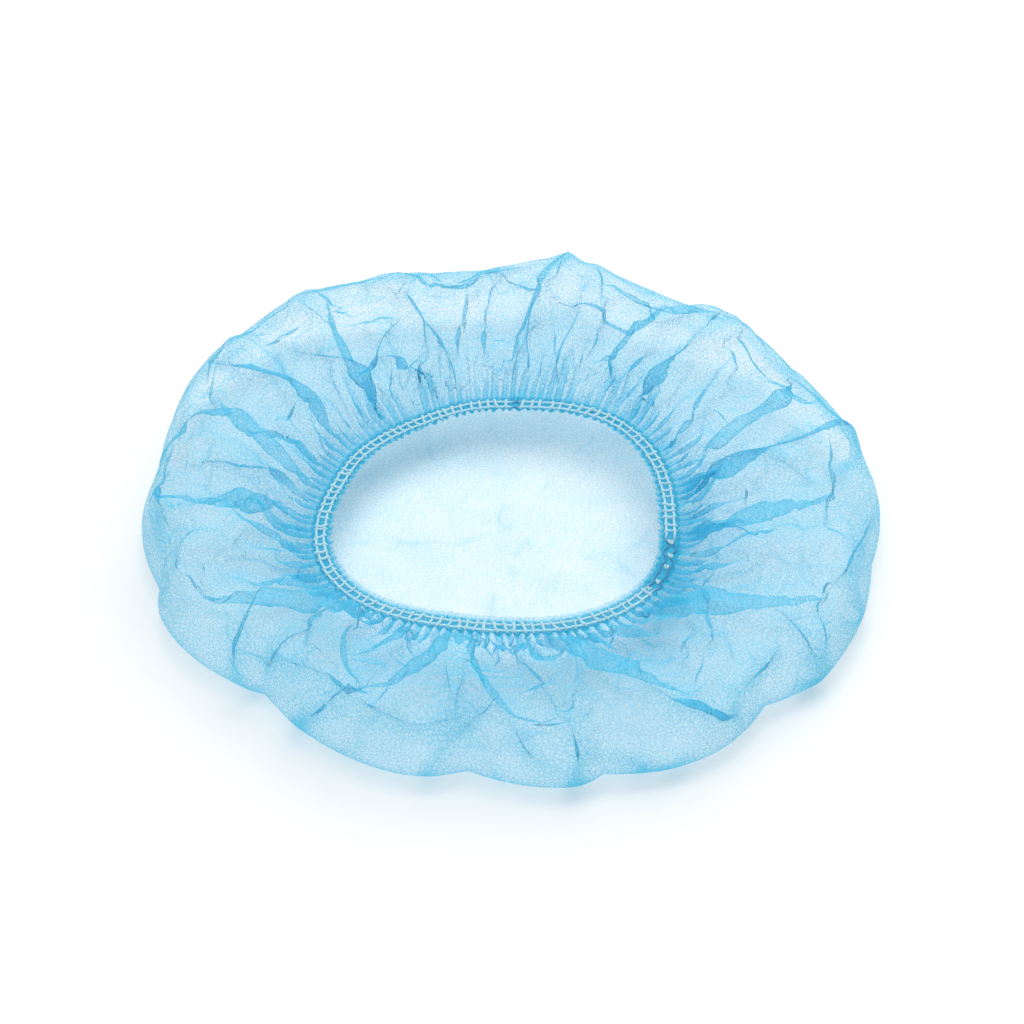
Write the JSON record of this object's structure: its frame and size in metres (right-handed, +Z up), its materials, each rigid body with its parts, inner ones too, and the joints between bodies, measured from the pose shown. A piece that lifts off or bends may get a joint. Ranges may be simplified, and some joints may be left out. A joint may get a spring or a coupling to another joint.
{
  "type": "disposable hairnet",
  "caption": "Light blue nonwoven bouffant hairnet lying crown down and puffed up, its elastic-gathered opening on top.",
  "frame": {"origin": "on the surface that the crown lies on, under the middle of the cap's outline", "axes": "+Z up out of the opening, +X along the longest width, +Y towards the back of the cap as seen from its front"},
  "size_m": [0.2796, 0.2753, 0.0471],
  "materials": {
    "cloth": "thin see-through spunbonded nonwoven, matte with fine bright fibres",
    "elastic": "satin white elastic thread under overlock stitching"
  },
  "bodies": {
    "root": {"cap_cloth": "cloth", "elastic_inner": "elastic", "elastic_outer": "elastic"}
  },
  "joints": []
}
